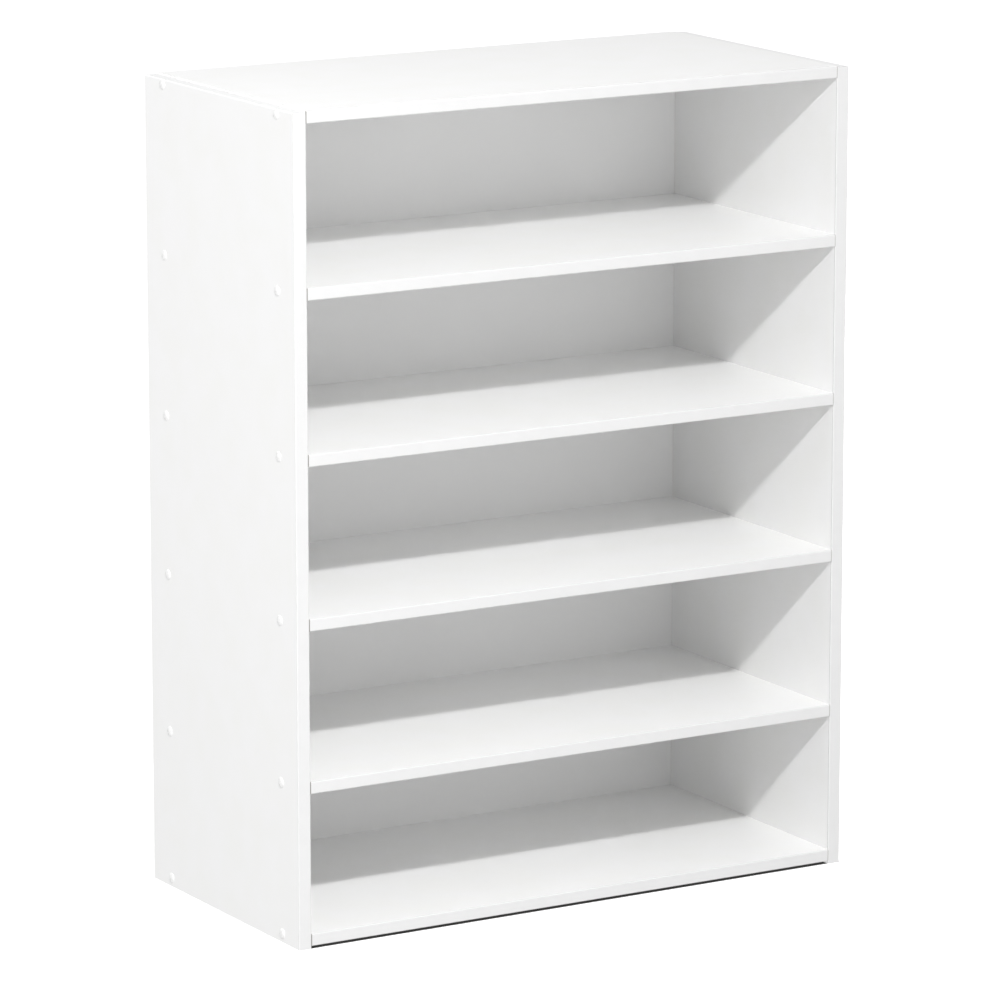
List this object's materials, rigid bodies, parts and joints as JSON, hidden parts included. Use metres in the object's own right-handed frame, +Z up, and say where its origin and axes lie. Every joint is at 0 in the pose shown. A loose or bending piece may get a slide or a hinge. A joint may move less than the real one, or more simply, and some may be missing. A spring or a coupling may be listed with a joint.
{
  "type": "bookcase",
  "caption": "Open white bookcase: two side panels, a top, a bottom and fixed shelves between them, and a thin back panel.",
  "frame": {"origin": "on the floor, midway across the width and the depth", "axes": "+X to the right seen from the open front, -Y out of the open front, +Z up"},
  "size_m": [0.6142, 0.296, 0.7975],
  "materials": {
    "laminated_board": "white melamine-faced particleboard, satin",
    "back_sheet": "hardboard, painted white inside, raw brown outside",
    "edge_band": "white edge band, satin",
    "cap_plastic": "white moulded plastic",
    "screw_steel": "zinc-plated steel",
    "nail_steel": "plain bright steel"
  },
  "bodies": {
    "root": {"left_side": "laminated_board", "right_side": "laminated_board", "top_panel": "laminated_board", "shelf_4": "laminated_board", "shelf_3": "laminated_board", "shelf_2": "laminated_board", "shelf_1": "laminated_board", "bottom_panel": "laminated_board", "back_panel": "back_sheet", "left_front_band": "edge_band", "right_front_band": "edge_band", "left_top_band": "edge_band", "right_top_band": "edge_band", "top_panel_band": "edge_band", "shelf_4_band": "edge_band", "shelf_3_band": "edge_band", "shelf_2_band": "edge_band", "shelf_1_band": "edge_band", "bottom_panel_band": "edge_band", "top_panel_screws": "screw_steel", "shelf_4_screws": "screw_steel", "shelf_3_screws": "screw_steel", "shelf_2_screws": "screw_steel", "shelf_1_screws": "screw_steel", "bottom_panel_screws": "screw_steel", "left_screw_caps": "cap_plastic", "right_screw_caps": "cap_plastic", "back_nails": "nail_steel"}
  },
  "joints": []
}
